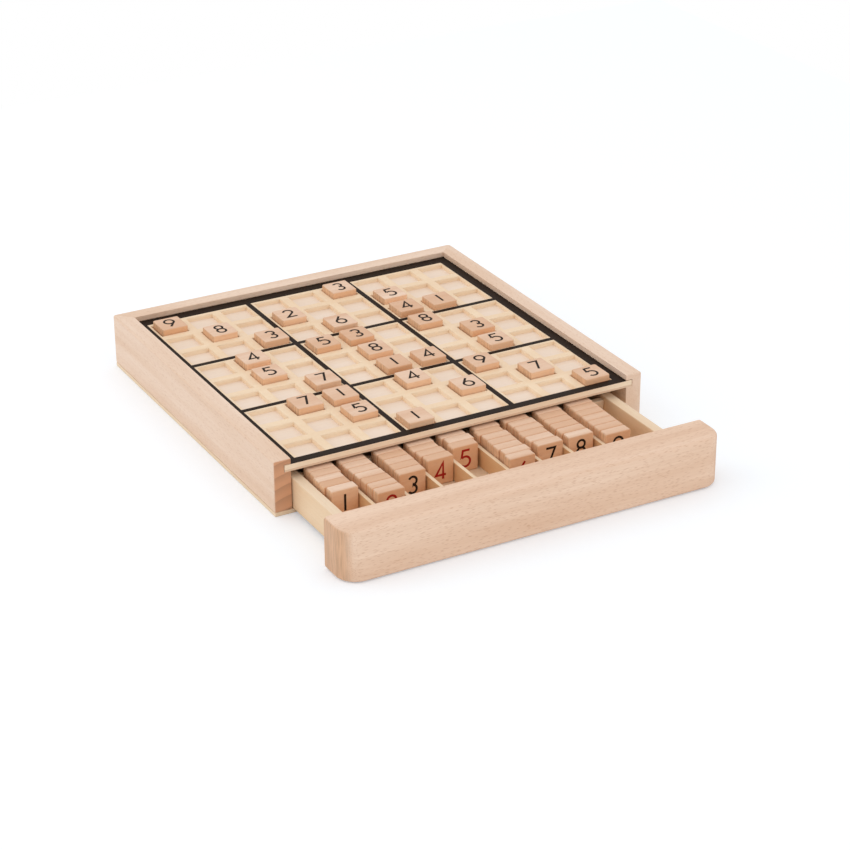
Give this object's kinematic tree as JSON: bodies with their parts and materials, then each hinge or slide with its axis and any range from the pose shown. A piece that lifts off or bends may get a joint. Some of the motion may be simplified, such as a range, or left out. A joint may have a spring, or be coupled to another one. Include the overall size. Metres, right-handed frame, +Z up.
{
  "type": "sudoku board",
  "caption": "Shallow wooden sudoku board with a recessed square grid on top, loose number tiles in it, and a drawer below with compartments for more tiles.",
  "frame": {"origin": "centre of the case's flat underside, without the drawer front", "axes": "+Z up, +X to the right as the numbers are read, drawer opens towards -Y"},
  "size_m": [0.2317, 0.307, 0.0327],
  "materials": {
    "beech": "satin clear coat over beech",
    "ply": "smooth pale ply",
    "grid": "smooth pale wood sheet",
    "black_print": "satin black ink on wood",
    "drawer_wood": "smooth pale wood",
    "tile_wood": "satin clear coat over beech"
  },
  "bodies": {
    "case": {"left_wall": "beech", "right_wall": "beech", "back_wall": "beech", "bottom_panel": "ply", "board_base": "ply", "grid_rails": "grid", "grid_ribs": "grid", "printed_lines": "black_print"},
    "drawer": {"drawer_front": "beech", "drawer_left_side": "drawer_wood", "drawer_right_side": "drawer_wood", "drawer_back": "drawer_wood", "drawer_floor": "ply", "compartment_bar": "drawer_wood", "divider_1": "drawer_wood", "divider_2": "drawer_wood", "divider_3": "drawer_wood", "divider_4": "drawer_wood", "divider_5": "drawer_wood", "divider_6": "drawer_wood", "divider_7": "drawer_wood", "divider_8": "drawer_wood", "stack_1": "tile_wood", "stack_2": "tile_wood", "stack_3": "tile_wood", "stack_4": "tile_wood", "stack_5": "tile_wood", "stack_6": "tile_wood", "stack_7": "tile_wood", "stack_8": "tile_wood", "stack_9": "tile_wood"},
    "tile_r1c1": {"tile_r1c1": "tile_wood"},
    "tile_r1c6": {"tile_r1c6": "tile_wood"},
    "tile_r2c2": {"tile_r2c2": "tile_wood"},
    "tile_r2c4": {"tile_r2c4": "tile_wood"},
    "tile_r2c7": {"tile_r2c7": "tile_wood"},
    "tile_r3c3": {"tile_r3c3": "tile_wood"},
    "tile_r3c5": {"tile_r3c5": "tile_wood"},
    "tile_r3c7": {"tile_r3c7": "tile_wood"},
    "tile_r3c8": {"tile_r3c8": "tile_wood"},
    "tile_r4c2": {"tile_r4c2": "tile_wood"},
    "tile_r4c4": {"tile_r4c4": "tile_wood"},
    "tile_r4c5": {"tile_r4c5": "tile_wood"},
    "tile_r4c7": {"tile_r4c7": "tile_wood"},
    "tile_r5c2": {"tile_r5c2": "tile_wood"},
    "tile_r5c5": {"tile_r5c5": "tile_wood"},
    "tile_r5c8": {"tile_r5c8": "tile_wood"},
    "tile_r6c3": {"tile_r6c3": "tile_wood"},
    "tile_r6c5": {"tile_r6c5": "tile_wood"},
    "tile_r6c6": {"tile_r6c6": "tile_wood"},
    "tile_r6c8": {"tile_r6c8": "tile_wood"},
    "tile_r7c2": {"tile_r7c2": "tile_wood"},
    "tile_r7c3": {"tile_r7c3": "tile_wood"},
    "tile_r7c5": {"tile_r7c5": "tile_wood"},
    "tile_r7c7": {"tile_r7c7": "tile_wood"},
    "tile_r8c3": {"tile_r8c3": "tile_wood"},
    "tile_r8c6": {"tile_r8c6": "tile_wood"},
    "tile_r8c8": {"tile_r8c8": "tile_wood"},
    "tile_r9c4": {"tile_r9c4": "tile_wood"},
    "tile_r9c9": {"tile_r9c9": "tile_wood"}
  },
  "joints": [
    {"name": "drawer_slide", "type": "slide", "parent": "case", "child": "drawer", "axis": [0, -1, 0], "range_m": [-0.0618, 0.057]},
    {"name": "lift_r1c1", "type": "slide", "parent": "case", "child": "tile_r1c1", "axis": [0, 0, 1], "range_m": [0, 0.025]},
    {"name": "lift_r1c6", "type": "slide", "parent": "case", "child": "tile_r1c6", "axis": [0, 0, 1], "range_m": [0, 0.025]},
    {"name": "lift_r2c2", "type": "slide", "parent": "case", "child": "tile_r2c2", "axis": [0, 0, 1], "range_m": [0, 0.025]},
    {"name": "lift_r2c4", "type": "slide", "parent": "case", "child": "tile_r2c4", "axis": [0, 0, 1], "range_m": [0, 0.025]},
    {"name": "lift_r2c7", "type": "slide", "parent": "case", "child": "tile_r2c7", "axis": [0, 0, 1], "range_m": [0, 0.025]},
    {"name": "lift_r3c3", "type": "slide", "parent": "case", "child": "tile_r3c3", "axis": [0, 0, 1], "range_m": [0, 0.025]},
    {"name": "lift_r3c5", "type": "slide", "parent": "case", "child": "tile_r3c5", "axis": [0, 0, 1], "range_m": [0, 0.025]},
    {"name": "lift_r3c7", "type": "slide", "parent": "case", "child": "tile_r3c7", "axis": [0, 0, 1], "range_m": [0, 0.025]},
    {"name": "lift_r3c8", "type": "slide", "parent": "case", "child": "tile_r3c8", "axis": [0, 0, 1], "range_m": [0, 0.025]},
    {"name": "lift_r4c2", "type": "slide", "parent": "case", "child": "tile_r4c2", "axis": [0, 0, 1], "range_m": [0, 0.025]},
    {"name": "lift_r4c4", "type": "slide", "parent": "case", "child": "tile_r4c4", "axis": [0, 0, 1], "range_m": [0, 0.025]},
    {"name": "lift_r4c5", "type": "slide", "parent": "case", "child": "tile_r4c5", "axis": [0, 0, 1], "range_m": [0, 0.025]},
    {"name": "lift_r4c7", "type": "slide", "parent": "case", "child": "tile_r4c7", "axis": [0, 0, 1], "range_m": [0, 0.025]},
    {"name": "lift_r5c2", "type": "slide", "parent": "case", "child": "tile_r5c2", "axis": [0, 0, 1], "range_m": [0, 0.025]},
    {"name": "lift_r5c5", "type": "slide", "parent": "case", "child": "tile_r5c5", "axis": [0, 0, 1], "range_m": [0, 0.025]},
    {"name": "lift_r5c8", "type": "slide", "parent": "case", "child": "tile_r5c8", "axis": [0, 0, 1], "range_m": [0, 0.025]},
    {"name": "lift_r6c3", "type": "slide", "parent": "case", "child": "tile_r6c3", "axis": [0, 0, 1], "range_m": [0, 0.025]},
    {"name": "lift_r6c5", "type": "slide", "parent": "case", "child": "tile_r6c5", "axis": [0, 0, 1], "range_m": [0, 0.025]},
    {"name": "lift_r6c6", "type": "slide", "parent": "case", "child": "tile_r6c6", "axis": [0, 0, 1], "range_m": [0, 0.025]},
    {"name": "lift_r6c8", "type": "slide", "parent": "case", "child": "tile_r6c8", "axis": [0, 0, 1], "range_m": [0, 0.025]},
    {"name": "lift_r7c2", "type": "slide", "parent": "case", "child": "tile_r7c2", "axis": [0, 0, 1], "range_m": [0, 0.025]},
    {"name": "lift_r7c3", "type": "slide", "parent": "case", "child": "tile_r7c3", "axis": [0, 0, 1], "range_m": [0, 0.025]},
    {"name": "lift_r7c5", "type": "slide", "parent": "case", "child": "tile_r7c5", "axis": [0, 0, 1], "range_m": [0, 0.025]},
    {"name": "lift_r7c7", "type": "slide", "parent": "case", "child": "tile_r7c7", "axis": [0, 0, 1], "range_m": [0, 0.025]},
    {"name": "lift_r8c3", "type": "slide", "parent": "case", "child": "tile_r8c3", "axis": [0, 0, 1], "range_m": [0, 0.025]},
    {"name": "lift_r8c6", "type": "slide", "parent": "case", "child": "tile_r8c6", "axis": [0, 0, 1], "range_m": [0, 0.025]},
    {"name": "lift_r8c8", "type": "slide", "parent": "case", "child": "tile_r8c8", "axis": [0, 0, 1], "range_m": [0, 0.025]},
    {"name": "lift_r9c4", "type": "slide", "parent": "case", "child": "tile_r9c4", "axis": [0, 0, 1], "range_m": [0, 0.025]},
    {"name": "lift_r9c9", "type": "slide", "parent": "case", "child": "tile_r9c9", "axis": [0, 0, 1], "range_m": [0, 0.025]}
  ]
}
